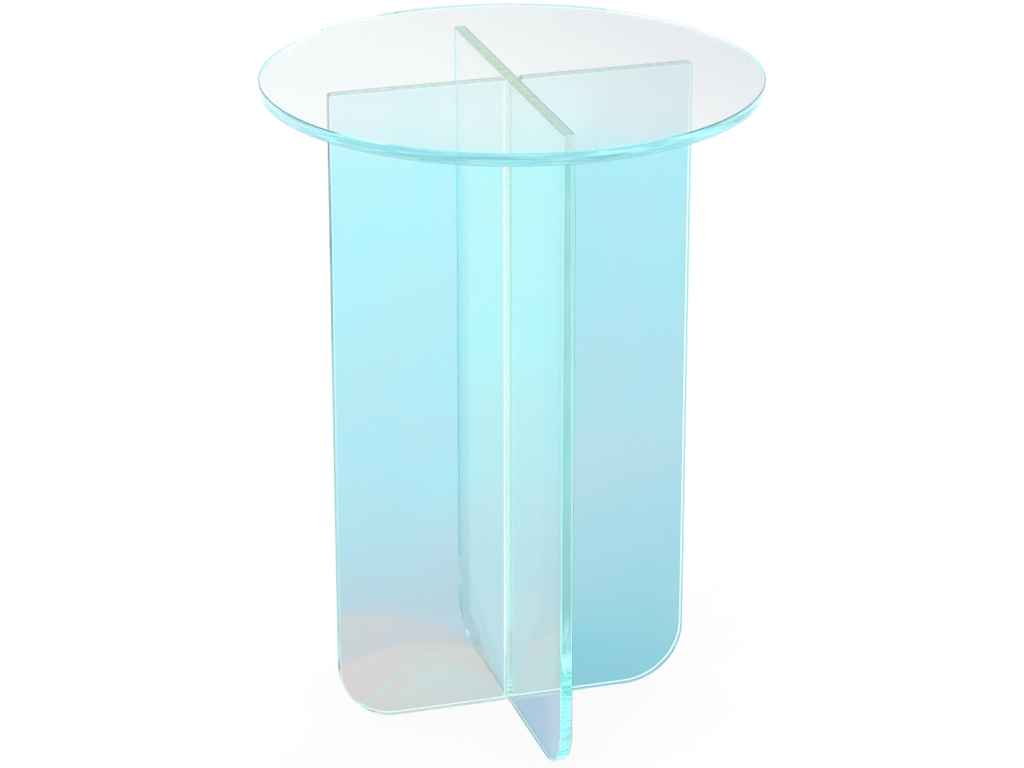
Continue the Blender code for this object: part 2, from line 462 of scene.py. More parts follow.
@dataclass(frozen=True)
class PolishedGlass:
    """Clear sheet glass that looks green along its depth.

    Args:
        name: The finish's name.
        depth_tint: The colour that long paths through the glass take.
        depth_density: How fast they take it, per metre.
        face_tint: The colour of the broad faces.
        cloud: The pattern in which the faces are partly white.
        cloud_share: How much of the pattern they take.
        arris_tint: The colour of the flats along the edges.
        edge_tints_and_shade: The colours up the polished edges of the front end, by height in metres:
            the glass's tint with painted shade, darkest just above the foot.
        front: Where the front end begins and ends to give way along Y. Behind it, the edges have
            the highest of those colours.
        joint_tint: The colour of the edges that are bonded to another sheet.
        joint_edges: Where that colour begins and ends to fade, along X from the middle.
        glow: The painted light that the edges give off as an emission, though they are no lamp.
        seat_roughness: How rough the grinding at the foot is, behind the front end.
        seat_edges: Where up Z it begins and ends to fade.
        wheel: The pattern of the fine streaks on the edges.
        streak_tint: What the streaks multiply the edges' colour by.
        refraction: The index of refraction.
        edge_roughness: How rough the polished edges are on average.
        arris_roughness: How much rougher the flats along them are.
        grain_strength: How strongly the streaks bend the reflections.
        grain_depth: How deep they are.
    """

    name: str
    depth_tint: Colour = (0.10, 0.90, 0.91)
    depth_density: float = 3.0
    face_tint: Colour = (0.992, 1.0, 0.996)
    cloud: Pattern = Pattern(9.0, 3.0)
    cloud_share: float = 0.6
    arris_tint: Colour = (0.76, 0.92, 0.90)
    edge_tints_and_shade: Stops = (
        (0.000, (0.84, 0.93, 0.92)),
        (0.106, (0.84, 0.93, 0.90)),
        # Painted shade: darkest just above the foot, lighter again further up.
        (0.114, (0.50, 0.51, 0.50)),
        (0.330, (0.74, 0.755, 0.745)),
    )
    front: Span = (-0.09, -0.08)
    joint_tint: Colour | None = None
    joint_edges: Span = (0.008, 0.012)
    glow: PaintedEdgeLight = PaintedEdgeLight()
    seat_roughness: float = 0.0
    seat_edges: Span = (0.038, 0.044)
    wheel: Pattern = Pattern(420.0, 2.0, (1.0, 1.0, 0.05), (0.45, 0.60))
    streak_tint: Colour = (1.10, 1.08, 1.08)
    refraction: float = 1.5
    edge_roughness: float = 0.02
    arris_roughness: float = 0.12
    grain_strength: float = 0.06
    grain_depth: float = 0.00005

    def material(self) -> Material:
        """Builds the material.

        Returns:
            The finished material.
        """
        material, sketch, shader, output = new_material(self.name)
        mark = sketch.attribute(GROUND_EDGE)
        edge = sketch.rise(mark, 0.0, ARRIS_MARK)
        rim_face = sketch.rise(mark, ARRIS_MARK, RIM_MARK)
        arris = edge - rim_face
        _, along, up = sketch.place()
        behind = sketch.rise(along, *self.front)
        wheel = sketch.noise(self.wheel)
        face = sketch.blend(sketch.noise(self.cloud) * self.cloud_share, self.face_tint, WHITE)
        rim = sketch.blend(rim_face, self.arris_tint, self.rim_colour(sketch, wheel, up + behind))
        sketch.feed(shader.inputs["Base Color"], sketch.blend(edge, face, rim))
        # Painted light: the edges' glow and highlights are given off as an emission.
        light = self.glow.colour(sketch, rim_face, arris, behind)
        sketch.feed(shader.inputs["Emission Color"], light)
        shader.inputs["Emission Strength"].default_value = 1.0
        polish = edge * (self.edge_roughness * (AVERAGE_NOISE + wheel))
        polish = polish + arris * self.arris_roughness
        if self.seat_roughness:
            seat = edge * behind * (1.0 - sketch.rise(up, *self.seat_edges))
            polish = polish + seat * self.seat_roughness
        sketch.feed(shader.inputs["Roughness"], polish)
        grain = {"Strength": self.grain_strength, "Distance": self.grain_depth}
        bump = sketch.node("ShaderNodeBump", sockets={**grain, "Height": wheel * edge})
        sketch.feed(shader.inputs["Normal"], bump.outputs[0])
        shader.inputs["Transmission Weight"].default_value = 1.0
        shader.inputs["IOR"].default_value = self.refraction
        depth = {"Color": self.depth_tint, "Density": self.depth_density}
        volume = sketch.node("ShaderNodeVolumeAbsorption", sockets=depth)
        sketch.feed(output.inputs["Volume"], volume.outputs[0])
        return material

    def rim_colour(self, sketch: Sketch, wheel: Signal, height: Signal) -> NodeSocket:
        """Builds the colour of the polished edges.

        Args:
            sketch: What adds the nodes.
            wheel: The noise of the fine streaks.
            height: The height, or more than 1 behind the front end.

        Returns:
            The colour.
        """
        # The ramp gives the edges' tint with painted shade above the foot.
        rim = sketch.ramp(height, self.edge_tints_and_shade)
        streaks = sketch.rise(wheel, *self.wheel.span)
        rim = sketch.blend(streaks, rim, sketch.multiply(rim, self.streak_tint))
        if self.joint_tint:
            apart = sketch.rise(abs(sketch.place()[0]), *self.joint_edges)
            rim = sketch.blend(apart, self.joint_tint, rim)
        return rim


@dataclass(frozen=True)
class Film:
    """A clear coloured film.

    Args:
        name: The finish's name.
        refraction: The index of refraction.
        drift: The pattern in which its colours drift.
        share_drift: How far they drift, as a share of the whole row of colours.
        sheen: The pattern of its roughness.
        roughness: How rough it is where that pattern is highest.
    """

    name: str
    refraction: float
    drift: Pattern
    share_drift: float
    sheen: Pattern = Pattern(30.0, 2.0)
    roughness: float = 0.02

    def material(self) -> Material:
        """Builds the material.

        Returns:
            The finished material.
        """
        material, sketch, shader, _ = new_material(self.name)
        sketch.feed(shader.inputs["Base Color"], self.colour(sketch, sketch.drift(self.drift)))
        sketch.feed(shader.inputs["Roughness"], sketch.noise(self.sheen) * self.roughness)
        shader.inputs["Transmission Weight"].default_value = 1.0
        shader.inputs["IOR"].default_value = self.refraction
        return material

    def colour(self, sketch: Sketch, drift: Signal) -> NodeSocket:
        """Builds the film's colour, which every kind of film does in its own way."""
        raise NotImplementedError


@dataclass(frozen=True)
class CausticArc:
    """One painted caustic: a zone with a curved outline, where coloured light on the floor seen
    through a film is painted over the film's colours.

    Args:
        across: Its centre along X.
        up: Its centre along Z.
        stretch: How much faster it ends along X than along Z.
        radius: How far it reaches.
        fade: How wide its outline fades.
        tint: Its colour.
    """

    across: float
    up: float
    stretch: float
    radius: float
    fade: float
    tint: Colour


@dataclass(frozen=True)
class SidePanelFilmAndCaustics(Film):
    """Cyan film, with rose and mint curved zones near its lower left corner that are painted
    caustics: coloured light on the floor, seen through the glass.

    Args:
        height: The height at which the colours along Z end.
        left: The colours up the left half.
        core: The colours up the band around the crossing.
        right: The colours up the right half.
        middle: Where along X the left half gives way to the right half.
        caustic_arcs: The painted caustics at the lower left, from the widest to the narrowest.
        arc_drift: How far their outlines drift.
        core_width: How far the band around the crossing reaches to the left and the right.
        core_fade: How wide its two sides fade.
        core_foot: How far it reaches to the left at the foot.
        core_slope: How fast it widens there with height.
        core_head: Where its sides begin and end to fade more widely.
        core_head_fade: How much more widely they fade there.
        wander: The pattern in which the whole film wanders between two tints.
        mottle: The two tints.
        clouds: The pattern of the pale clouds on the right half.
        cloud_tint: Their colour.
        cloud_share: How much of it they take.
        cloud_slope: How steeply their lower edge climbs along X.
        cloud_foot: Where that edge begins and ends to fade.
        cloud_head: Where their upper edge begins and ends to fade.
    """

    name: str = "side_panel_film"
    refraction: float = 1.3
    drift: Pattern = Pattern(11.0, 3.0)
    share_drift: float = 0.14
    height: float = 0.54
    left: Stops = (
        (0.00, (0.55, 0.60, 0.66)),
        (0.18, (0.45, 0.65, 0.74)),
        (0.40, (0.42, 0.78, 0.89)),
        (0.89, (0.44, 0.91, 0.985)),
        (0.95, (0.66, 0.94, 0.99)),
    )
    core: Stops = (
        (0.00, (0.64, 0.81, 0.87)),
        (0.20, (0.53, 0.74, 0.81)),
        (0.60, (0.47, 0.92, 0.98)),
        (0.89, (0.50, 0.95, 1.00)),
        (0.95, (0.72, 0.95, 1.00)),
    )
    right: Stops = (
        (0.00, (0.245, 0.635, 0.765)),
        (0.06, (0.233, 0.645, 0.77)),
        (0.13, (0.310, 0.66, 0.77)),
        (0.21, (0.355, 0.67, 0.78)),
        (0.40, (0.40, 0.70, 0.81)),
        (0.875, (0.38, 0.83, 0.93)),
        (0.93, (0.60, 0.83, 0.90)),
        (1.00, (0.68, 0.86, 0.92)),
    )
    middle: Span = (-0.004, 0.004)
    caustic_arcs: tuple[CausticArc, ...] = (
        CausticArc(-0.150, -0.060, 0.88, 0.1645, 0.004, (0.50, 0.655, 0.73)),
        CausticArc(-0.150, -0.060, 0.88, 0.1545, 0.004, (0.62, 0.63, 0.67)),
        CausticArc(-0.088, -0.040, 0.82, 0.1005, 0.003, (0.73, 0.67, 0.665)),
        CausticArc(-0.050, -0.045, 0.98, 0.0960, 0.003, (0.69, 0.72, 0.70)),
        CausticArc(-0.056, -0.045, 1.10, 0.0890, 0.003, (0.73, 0.70, 0.68)),
        CausticArc(-0.060, -0.045, 1.30, 0.0810, 0.006, (0.69, 0.745, 0.74)),
    )
    arc_drift: float = 0.012
    core_width: tuple[float, float] = (0.034, 0.044)
    core_fade: tuple[float, float] = (0.005, 0.010)
    core_foot: float = 0.005
    core_slope: float = 0.34
    core_head: Span = (0.46, 0.52)
    core_head_fade: float = 0.04
    wander: Pattern = Pattern(13.0, 4.0, span=(0.36, 0.64))
    mottle: tuple[Colour, Colour] = ((0.93, 1.0, 1.0), (1.0, 0.975, 0.975))
    clouds: Pattern = Pattern(17.0, 3.0, (1.0, 1.0, 0.7), (0.32, 0.70))
    cloud_tint: Colour = (0.46, 0.71, 0.80)
    cloud_share: float = 0.6
    cloud_slope: float = 0.7
    cloud_foot: Span = (0.080, 0.150)
    cloud_head: Span = (0.270, 0.340)

    def colour(self, sketch: Sketch, drift: Signal) -> NodeSocket:
        """Builds the film's colour.

        Args:
            sketch: What adds the nodes.
            drift: The noise in which its colours drift, measured from its average.

        Returns:
            The colour.
        """
        across, _, up = sketch.place()
        share = up / self.height + drift * self.share_drift
        # Painted caustics over the left half.
        left = self.paint_caustic_arcs(sketch, sketch.ramp(share, self.left), drift * self.arc_drift)
        right = self.add_clouds(sketch, sketch.ramp(share, self.right))
        side = sketch.rise(across, *self.middle)
        width, fade = (
            side * (right_size - left_size) + left_size
            for left_size, right_size in (self.core_width, self.core_fade)
        )
        reach = (up * self.core_slope + self.core_foot + side).lowest(width)
        fade = fade + sketch.rise(up, *self.core_head) * self.core_head_fade
        beyond = sketch.rise((abs(across) - reach) / fade, 0.0, 1.0)
        halves = sketch.blend(side, left, right)
        colour = sketch.blend(beyond, sketch.ramp(share, self.core), halves)
        return sketch.multiply(colour, sketch.blend(sketch.patches(self.wander), *self.mottle))

    def paint_caustic_arcs(
        self, sketch: Sketch, colour: NodeSocket, drift: Signal
    ) -> NodeSocket:
        """Paints the caustic zones over a colour.

        Args:
            sketch: What adds the nodes.
            colour: The colour around them.
            drift: How far their outlines lie from their true curves.

        Returns:
            The colour with the painted caustics.
        """
        for arc in self.caustic_arcs:
            around = sketch.mapped((arc.stretch, 0.0, 1.0), (arc.across, 0.0, arc.up))
            length = sketch.node("ShaderNodeVectorMath", {"operation": "LENGTH"}, {0: around})
            reach = sketch.signal(length.outputs["Value"]) + drift
            outside = sketch.rise(reach, arc.radius - arc.fade, arc.radius + arc.fade)
            colour = sketch.blend(outside, arc.tint, colour)
        return colour

    def add_clouds(self, sketch: Sketch, colour: NodeSocket) -> NodeSocket:
        """Lays the pale clouds over a colour.

        Args:
            sketch: What adds the nodes.
            colour: The colour around them.

        Returns:
            The colour with the clouds.
        """
        across, _, up = sketch.place()
        above = sketch.rise(up - across * self.cloud_slope, *self.cloud_foot)
        below = 1.0 - sketch.rise(up, *self.cloud_head)
        share = above * below * sketch.patches(self.clouds) * self.cloud_share
        return sketch.blend(share, colour, self.cloud_tint)


@dataclass(frozen=True)
class CrossPanelFilmAndShadow(Film):
    """Pale mint film, with a painted bluish shadow at its lower front corner: the table's coloured
    shadow on the floor, seen through the glass.

    Args:
        height: The height at which the colours along Z end.
        stops: The colours from the foot up.
        corner: The colour of the painted shadow at the lower front corner.
        shadow_core: The painted shadow's colour towards the middle of the panel.
        corner_start: The panel's front edge along Y.
        corner_slope: How fast the corner's colour drops towards the middle.
        corner_edges: Where that colour begins and ends to fade.
        corner_drift: How far that edge drifts.
        inner_edges: Where along Y its first colour gives way to the second.
        inner_drift: How far that line drifts.
    """

    name: str = "cross_panel_film"
    refraction: float = 1.1
    drift: Pattern = Pattern(6.0, 2.0)
    share_drift: float = 0.12
    height: float = 0.54
    stops: Stops = (
        (0.00, (0.96, 0.98, 0.98)),
        (0.30, (0.97, 0.99, 0.97)),
        (1.00, (1.00, 1.00, 0.96)),
    )
    # Painted shadow: the table's bluish shadow on the floor, seen through the glass.
    corner: Colour = (0.26, 0.52, 0.72)
    shadow_core: Colour = (0.08, 0.40, 0.68)
    corner_start: float = -0.15
    corner_slope: float = 0.53
    corner_edges: Span = (0.0755, 0.0815)
    corner_drift: float = 0.008
    inner_edges: Span = (-0.12, -0.08)
    inner_drift: float = 0.06

    def colour(self, sketch: Sketch, drift: Signal) -> NodeSocket:
        """Builds the film's colour.

        Args:
            sketch: What adds the nodes.
            drift: The noise in which its colours drift, measured from its average.

        Returns:
            The colour.
        """
        _, along, up = sketch.place()
        colour = sketch.ramp(up / self.height + drift * self.share_drift, self.stops)
        inward = (along - self.corner_start) * self.corner_slope
        beyond = sketch.rise(up + inward + drift * self.corner_drift, *self.corner_edges)
        inner = sketch.rise(along + drift * self.inner_drift, *self.inner_edges)
        # The painted shadow covers the lower front corner.
        return sketch.blend(beyond, sketch.blend(inner, self.corner, self.shadow_core), colour)


@dataclass(frozen=True)
class TopFilm(Film):
    """Film under the top, clear at its left and pale lilac and darker at its right: partly the film's
    own tint, partly painted shade, a reflection of a dimmer side of the room.

    Args:
        width: How wide the row of colours is.
        across_share: How much it follows X.
        along_share: How much it follows Y.
        middle: Where in the row the middle of the top is, from 0 to 1.
        stops: The colours from left to right.
    """

    name: str = "top_film"
    refraction: float = 1.3
    drift: Pattern = Pattern(5.0, 2.0)
    share_drift: float = 0.16
    width: float = 0.4
    across_share: float = 0.95
    along_share: float = 0.25
    middle: float = 0.5
    # Darker towards the right: the film's lilac with painted shade.
    stops: Stops = (
        (0.00, (1.00, 1.00, 1.00)),
        (0.40, (0.97, 0.97, 0.97)),
        (0.70, (0.885, 0.88, 0.89)),
        (0.85, (0.82, 0.82, 0.86)),
        (1.00, (0.76, 0.76, 0.83)),
    )

    def colour(self, sketch: Sketch, drift: Signal) -> NodeSocket:
        """Builds the film's colour.

        Args:
            sketch: What adds the nodes.
            drift: The noise in which its colours drift, measured from its average.

        Returns:
            The colour.
        """
        across, along, _ = sketch.place()
        share = (across * self.across_share + along * self.along_share) / self.width
        return sketch.ramp(share + self.middle + drift * self.share_drift, self.stops)


class CureAndGlow(Enum):
    """How the adhesive has set, what it lets through and how rough it is, and how much painted glow
    it has.

    The glow stands for the light that reaches the cloudy strips through the glass around them.
    """

    CLEAR = (1.0, 0.03, 0.06)
    CLOUDY = (0.1, 0.3, 0.24)


@dataclass(frozen=True)
class Adhesive:
    """Cured adhesive with faint streaks and a painted glow.

    Args:
        name: The finish's name.
        cure: How clear it has set, and its painted glow.
        tint: The adhesive's colour.
        streak_tint: The colour of its streaks.
        streaks: Their pattern.
        streak_roughness: How much rougher they are.
        thick_axis: The axis across the strip, if it is thicker along its far side.
        thick_tint: The colour where it is thicker.
        thick_edges: Where that begins and ends to fade in.
        end_axis: The axis along the strip, if its colour changes towards its two ends.
        end_tint: The colour there.
        end_edges: How far from the middle that begins and ends to fade in.
        refraction: The index of refraction.
    """

    name: str
    cure: CureAndGlow
    tint: Colour
    streak_tint: Colour
    streaks: Pattern = Pattern(210.0, 2.0, (1.0, 1.0, 0.05), (0.43, 0.57))
    streak_roughness: float = 0.05
    thick_axis: int | None = None
    thick_tint: Colour = (0.05, 0.30, 0.22)
    thick_edges: Span = (0.0020, 0.0032)
    end_axis: int | None = None
    end_tint: Colour = (0.28, 0.80, 0.62)
    end_edges: Span = (0.020, 0.150)
    refraction: float = 1.48

    def material(self) -> Material:
        """Builds the material.

        Returns:
            The finished material.
        """
        material, sketch, shader, _ = new_material(self.name)
        transmission, roughness, glow = self.cure.value
        streaks = sketch.patches(self.streaks)
        colour = sketch.blend(streaks, self.tint, self.streak_tint)
        if self.end_axis is not None:
            towards_end = sketch.rise(abs(sketch.place()[self.end_axis]), *self.end_edges)
            colour = sketch.blend(towards_end, colour, self.end_tint)
        if self.thick_axis is not None:
            thick = sketch.rise(sketch.place()[self.thick_axis], *self.thick_edges)
            colour = sketch.blend(thick, colour, self.thick_tint)
        sketch.feed(shader.inputs["Base Color"], colour)
        # Painted light: the adhesive gives off its own colour as a glow.
        sketch.feed(shader.inputs["Emission Color"], colour)
        shader.inputs["Emission Strength"].default_value = glow
        sketch.feed(shader.inputs["Roughness"], roughness + streaks * self.streak_roughness)
        shader.inputs["Transmission Weight"].default_value = transmission
        shader.inputs["IOR"].default_value = self.refraction
        return material


# Sheets of glass


class PaneMaker:
    """Makes sheets of glass from outlines with a Geometry Nodes tree.

    The tree rounds the outline's corners, sweeps the rim and its two arrises along it, and closes
    both faces.
    """

    def __init__(self) -> None:
        """Builds the tree."""
        self.tree = bpy.data.node_groups.new("polished_sheet", "GeometryNodeTree")
        face = self.tree.interface
        inputs = {"Outline": "Geometry", "Thickness": "Float", "Arris": "Float", "Finish": "Material"}
        for name, kind in inputs.items():
            face.new_socket(name, in_out="INPUT", socket_type="NodeSocket" + kind)
        face.new_socket("Sheet", in_out="OUTPUT", socket_type="NodeSocketGeometry")
        self.sketch = Sketch(self.tree)
        self.given = self.sketch.node("NodeGroupInput").outputs
        self._fill_tree()

    def make(
        self,
        name: str,
        outline: Mesh,
        thickness: float,
        arris: float,
        place: Matrix,
        finish: Material,
    ) -> Object:
        """Makes one sheet.

        Args:
            name: The piece's name.
            outline: The outline, a closed line in its own XY plane.
            thickness: The sheet's thickness.
            arris: The width of the flats ground along its edges.
            place: Where the outline's plane goes.
            finish: What it is made of.

        Returns:
            The piece, with its place in its mesh.
        """
        draft = new_object(name + "_draft", outline)
        shaping = draft.modifiers.new("sheet", "NODES")
        shaping.node_group = self.tree
        identifiers = {item.name: item.identifier for item in self.tree.interface.items_tree}
        for key, value in (("Thickness", thickness), ("Arris", arris), ("Finish", finish)):
            shaping[identifiers[key]] = value
        bpy.context.view_layer.update()
        depsgraph = bpy.context.evaluated_depsgraph_get()
        mesh = bpy.data.meshes.new_from_object(draft.evaluated_get(depsgraph))
        mesh.name = name
        bpy.data.objects.remove(draft, do_unlink=True)
        self._close(mesh, place)
        return new_object(name, mesh)

    @staticmethod
    def _close(mesh: Mesh, place: Matrix) -> None:
        """Puts a sheet in its place and turns its faces outwards.

        Args:
            mesh: The sheet's mesh.
            place: Where it goes.
        """
        shape = bmesh.new()
        shape.from_mesh(mesh)
        bmesh.ops.transform(shape, matrix=place, verts=shape.verts)
        bmesh.ops.remove_doubles(shape, verts=shape.verts, dist=WELD_DISTANCE)
        bmesh.ops.recalc_face_normals(shape, faces=shape.faces)
        open_edges = [edge for edge in shape.edges if not edge.is_manifold]
        LOG.info("%s: %d faces, %d open edges", mesh.name, len(shape.faces), len(open_edges))
        shape.to_mesh(mesh)
        shape.free()
        mesh.set_sharp_from_angle(angle=SHARP_ANGLE)

    def _fill_tree(self) -> None:
        """Adds the tree's nodes, from the outline to the finished sheet."""
        curve = self._rounded_outline()
        half = self.sketch.signal(self.given["Thickness"]) * 0.5
        arris = self.sketch.signal(self.given["Arris"])
        back = half * -1.0
        inward = arris * -1.0
        section = ((inward, half), (0.0, half - arris), (0.0, back + arris), (inward, back))
        marks = (ARRIS_MARK, RIM_MARK, ARRIS_MARK)
        strips = [
            self._strip(curve, *ends, mark) for *ends, mark in zip(section, section[1:], marks)
        ]
        faces = [self._face(curve, inward, height) for height in (half, back)]
        joined = self.sketch.node("GeometryNodeJoinGeometry")
        for piece in strips + faces:
            self.tree.links.new(piece, joined.inputs[0])
        sheet = self._then("MergeByDistance", joined.outputs[0], {"Distance": WELD_DISTANCE})
        sheet = self._then("SetShadeSmooth", sheet, {"Shade Smooth": True})
        sheet = self._then("RealizeInstances", sheet)
        sheet = self._then("SetMaterial", sheet, {"Material": self.given["Finish"]})
        self.sketch.node("NodeGroupOutput", sockets={"Sheet": sheet})

    def _then(
        self,
        kind: str,
        shape: NodeSocket,
        sockets: Mapping[str, Any] | None = None,
        settings: Mapping[str, Any] | None = None,
    ) -> NodeSocket:
        """Adds a geometry node that works on a shape or a curve, and returns what it makes."""
        given = {0: shape, **(sockets or {})}
        return self.sketch.node("GeometryNode" + kind, settings, given).outputs[0]

    def _rounded_outline(self) -> NodeSocket:
        """Rounds the outline's corners by the sizes that are stored on it.

        Returns:
            The outline as a curve, with its normals level.
        """
        rounding = {"Limit Radius": False}
        for name, stored in (("Radius", CORNER_RADIUS), ("Count", CORNER_STEPS)):
            kind = "GeometryNodeInputNamedAttribute"
            field = self.sketch.node(kind, {"data_type": "FLOAT"}, {"Name": stored})
            rounding[name] = field.outputs["Attribute"]
        curve = self._then("MeshToCurve", self.given["Outline"])
        curve = self._then("FilletCurve", curve, rounding, {"mode": "POLY"})
        return self._then("SetCurveNormal", curve, settings={"mode": "Z_UP"})

    def _point(self, outward: Signal | float, height: Signal) -> NodeSocket:
        """Returns a point of the edge's section."""
        node = self.sketch.node("ShaderNodeCombineXYZ", sockets={"X": outward, "Y": height})
        return node.outputs[0]

    def _strip(
        self,
        curve: NodeSocket,
        start: tuple[Signal | float, Signal],
        end: tuple[Signal | float, Signal],
        mark: float,
    ) -> NodeSocket:
        """Sweeps one strip of the edge along the outline.

        Args:
            curve: The outline.
            start: The strip's first point in the edge's section, outward and up.
            end: Its second point.
            mark: Its mark as a rim or an arris.

        Returns:
            The marked strip.
        """
        ends = {"Start": self._point(*start), "End": self._point(*end)}
        line = self.sketch.node("GeometryNodeCurvePrimitiveLine", sockets=ends)
        swept = self._then("CurveToMesh", curve, {"Profile Curve": line.outputs[0]})
        stored = {"data_type": "FLOAT", "domain": "FACE"}
        return self._then("StoreNamedAttribute", swept, {"Name": GROUND_EDGE, "Value": mark}, stored)

    def _face(self, curve: NodeSocket, outward: Signal, height: Signal) -> NodeSocket:
        """Closes one broad face inside the arris.

        Args:
            curve: The outline.
            outward: How far the face reaches past it, which is less than 0.
            height: The face's height above the sheet's middle plane.

        Returns:
            The face.
        """
        normal = self.sketch.node("GeometryNodeInputNormal").outputs[0]
        scaled = {"operation": "SCALE"}
        step = self.sketch.node("ShaderNodeVectorMath", scaled, {0: normal, "Scale": outward})
        moved = self._then("SetPosition", curve, {"Offset": step.outputs[0]})
        filled = self._then("FillCurve", moved, settings={"mode": "NGONS"})
        lift = self.sketch.node("ShaderNodeCombineXYZ", sockets={"Z": height})
        return self._then("Transform", filled, {"Translation": lift.outputs[0]})


# The table


@dataclass
class RoundTop:
    """The round glass top and the film under it.

    Args:
        maker: What makes sheets of glass.
        arris: The width of the flats ground along the rim.
        steps: How many points go round it.
        glass: The finish of the sheet.
        film: The finish of the film.
    """

    maker: PaneMaker
    arris: float = 0.0008
    steps: int = 720
    glass: PolishedGlass = PolishedGlass(
        "top_glass",
        depth_tint=(0.18, 0.80, 0.85),
        arris_tint=(0.80, 0.94, 0.95),
        edge_tints_and_shade=((0.0, (0.66, 0.84, 0.87)), (1.0, (0.66, 0.84, 0.87))),
        # Painted light on the rim: glowing streaks, and highlights towards its left and right ends.
        glow=PaintedEdgeLight(
            streak_highlight=(0.13, 0.17, 0.17),
            arris=(0.05, 0.14, 0.16),
            ends=(0.27, 0.20, 0.18),
            streaks=PaintedEdgeLight.streaks.stretched(0.04, 0.04, 0.9),
        ),
        wheel=PolishedGlass.wheel.stretched(0.06, 0.06, 1.0),
        streak_tint=(1.25, 1.15, 1.12),
    )
    film: TopFilm = TopFilm()

    def outline(self, radius: float) -> Mesh:
        """Draws the top's outline.

        Args:
            radius: The top's radius.

        Returns:
            A closed line, on which no rounding is stored.
        """
        mesh = bpy.data.meshes.new("top_outline")
        shape = bmesh.new()
        bmesh.ops.create_circle(shape, segments=self.steps, radius=radius)
        shape.to_mesh(mesh)
        shape.free()
        for name in (CORNER_RADIUS, CORNER_STEPS):
            mesh.attributes.new(name, "FLOAT", "POINT")
        return mesh

    def build(self, nodes: Mapping[str, Object]) -> list[Object]:
        """Makes the top and dresses its film.

        Args:
            nodes: The nodes of the frame.

        Returns:
            The new pieces.
        """
        low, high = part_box("table_top")
        piece = self.maker.make(
            "round_top",
            self.outline((high.x - low.x) / 2),
            high.z - low.z,
            self.arris,
            Matrix.Translation((low + high) / 2),
            self.glass.material(),
        )
        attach(piece, BODY)
        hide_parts("table_top")
        dress(nodes["top_film"], self.film.material())
        return [piece]


@dataclass
class CrossedPanels:
    """The cross panel, the two side panels that are bonded to it, and their films.

    Args:
        maker: What makes the sheets.
        arris: The width of the flats ground along the edges of the glass.
        film_arris: The same for the films.
        side_corner: The rounding of a side panel's outer lower corner.
        cross_corner: The rounding of the cross panel's lower corners.
        dubbed_corner: The rounding of every other corner.
        dubbed_steps: How many points it has.
        corner_steps: How many points a larger rounding has.
        side_glass: The finish of the side panels.
        cross_glass: The finish of the cross panel.
        side_film: The finish of the side panels' films.
        cross_film: The finish of the cross panel's film.
    """

    maker: PaneMaker
    arris: float = 0.0008
    film_arris: float = 0.00004
    side_corner: float = 0.050
    cross_corner: float = 0.040
    dubbed_corner: float = 0.0013
    dubbed_steps: int = 6
    corner_steps: int = 40
    side_glass: PolishedGlass = PolishedGlass(
        "side_panel_glass", front=BEYOND_TABLE, joint_tint=(0.42, 0.74, 0.70)
    )
    cross_glass: PolishedGlass = PolishedGlass(
        "cross_panel_glass",
        arris_tint=(0.88, 0.97, 0.90),
        # Painted light on the cross panel's edges: a highlight at the back corner, and highlights in
        # bands at the foot of the front end.
        glow=PaintedEdgeLight(
            arris=(0.10, 0.19, 0.17),
            back_corner_highlight=(0.42, 0.45, 0.46),
            foot_dim=(0.0, 0.01, 0.02),
            foot_highlight=(0.02, 0.20, 0.21),
        ),
        seat_roughness=0.25,
    )
    side_film: SidePanelFilmAndCaustics = SidePanelFilmAndCaustics()
    cross_film: CrossPanelFilmAndShadow = CrossPanelFilmAndShadow()

    def build(self, _nodes: Mapping[str, Object]) -> list[Object]:
        """Makes the panels and their films.

        Args:
            _nodes: The nodes of the frame, which are not used; none of them is dressed as it is.

        Returns:
            The new pieces.
        """
        side = (self.side_glass.material(), self.side_film.material())
        cross = (self.cross_glass.material(), self.cross_film.material())
        square = self.dubbed_corner
        sheets = []
        for node, radii, (glass, film) in (
            ("cross_panel", (self.cross_corner, self.cross_corner), cross),
            ("left_panel", (self.side_corner, square), side),
            ("right_panel", (square, self.side_corner), side),
        ):
            sheets.append(self.sheet(node, radii, self.arris, glass))
            sheets.append(self.sheet(node + "_film", radii, self.film_arris, film))
        return sheets

    def outline(self, node: str, radii: tuple[float, float]) -> Mesh:
        """Draws one sheet's outline as a closed line.

        Args:
            node: The sheet's node.
            radii: The rounding of the panel's lower left and lower right corners.

        Returns:
            The line, with each corner's rounding stored on it.
        """
        low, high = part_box(node)
        left, right = low[run_axis(node)], high[run_axis(node)]
        corners = ((left, low.z), (right, low.z), (right, high.z), (left, high.z))
        mesh = bpy.data.meshes.new(node + "_outline")
        edges = ((0, 1), (1, 2), (2, 3), (3, 0))
        mesh.from_pydata([(across, up, 0.0) for across, up in corners], edges, [])
        # A film's edge lies inside the glass by as much as its foot is above the floor.
        lower = [max(radius - low.z, self.dubbed_corner) for radius in radii]
        rounding = [*lower, self.dubbed_corner, self.dubbed_corner]
        steps = [
            self.corner_steps if radius > self.dubbed_corner else self.dubbed_steps
            for radius in rounding
        ]
        for name, values in ((CORNER_RADIUS, rounding), (CORNER_STEPS, steps)):
            mesh.attributes.new(name, "FLOAT", "POINT").data.foreach_set("value", values)
        return mesh

    def sheet(
        self, node: str, radii: tuple[float, float], arris: float, finish: Material
    ) -> Object:
        """Makes one sheet in the place of its node.

        Args:
            node: The node that it stands for.
            radii: The rounding of the panel's lower left and lower right corners.
            arris: The width of the flats ground along its edges.
            finish: What it is made of.

        Returns:
            The sheet.
        """
        low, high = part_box(node)
        axis = run_axis(node)
        depth_axis = 1 - axis
        middle = Vector(ORIGIN)
        middle[depth_axis] = (low[depth_axis] + high[depth_axis]) / 2
        turn = Euler((QUARTER_TURN, 0.0, QUARTER_TURN * axis)).to_matrix().to_4x4()
        piece = self.maker.make(
            node + "_sheet",
            self.outline(node, radii),
            high[depth_axis] - low[depth_axis],
            arris,
            Matrix.Translation(middle) @ turn,
            finish,
        )
        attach(piece, BODY)
        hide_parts(node)
        slot_name(node)
        return piece


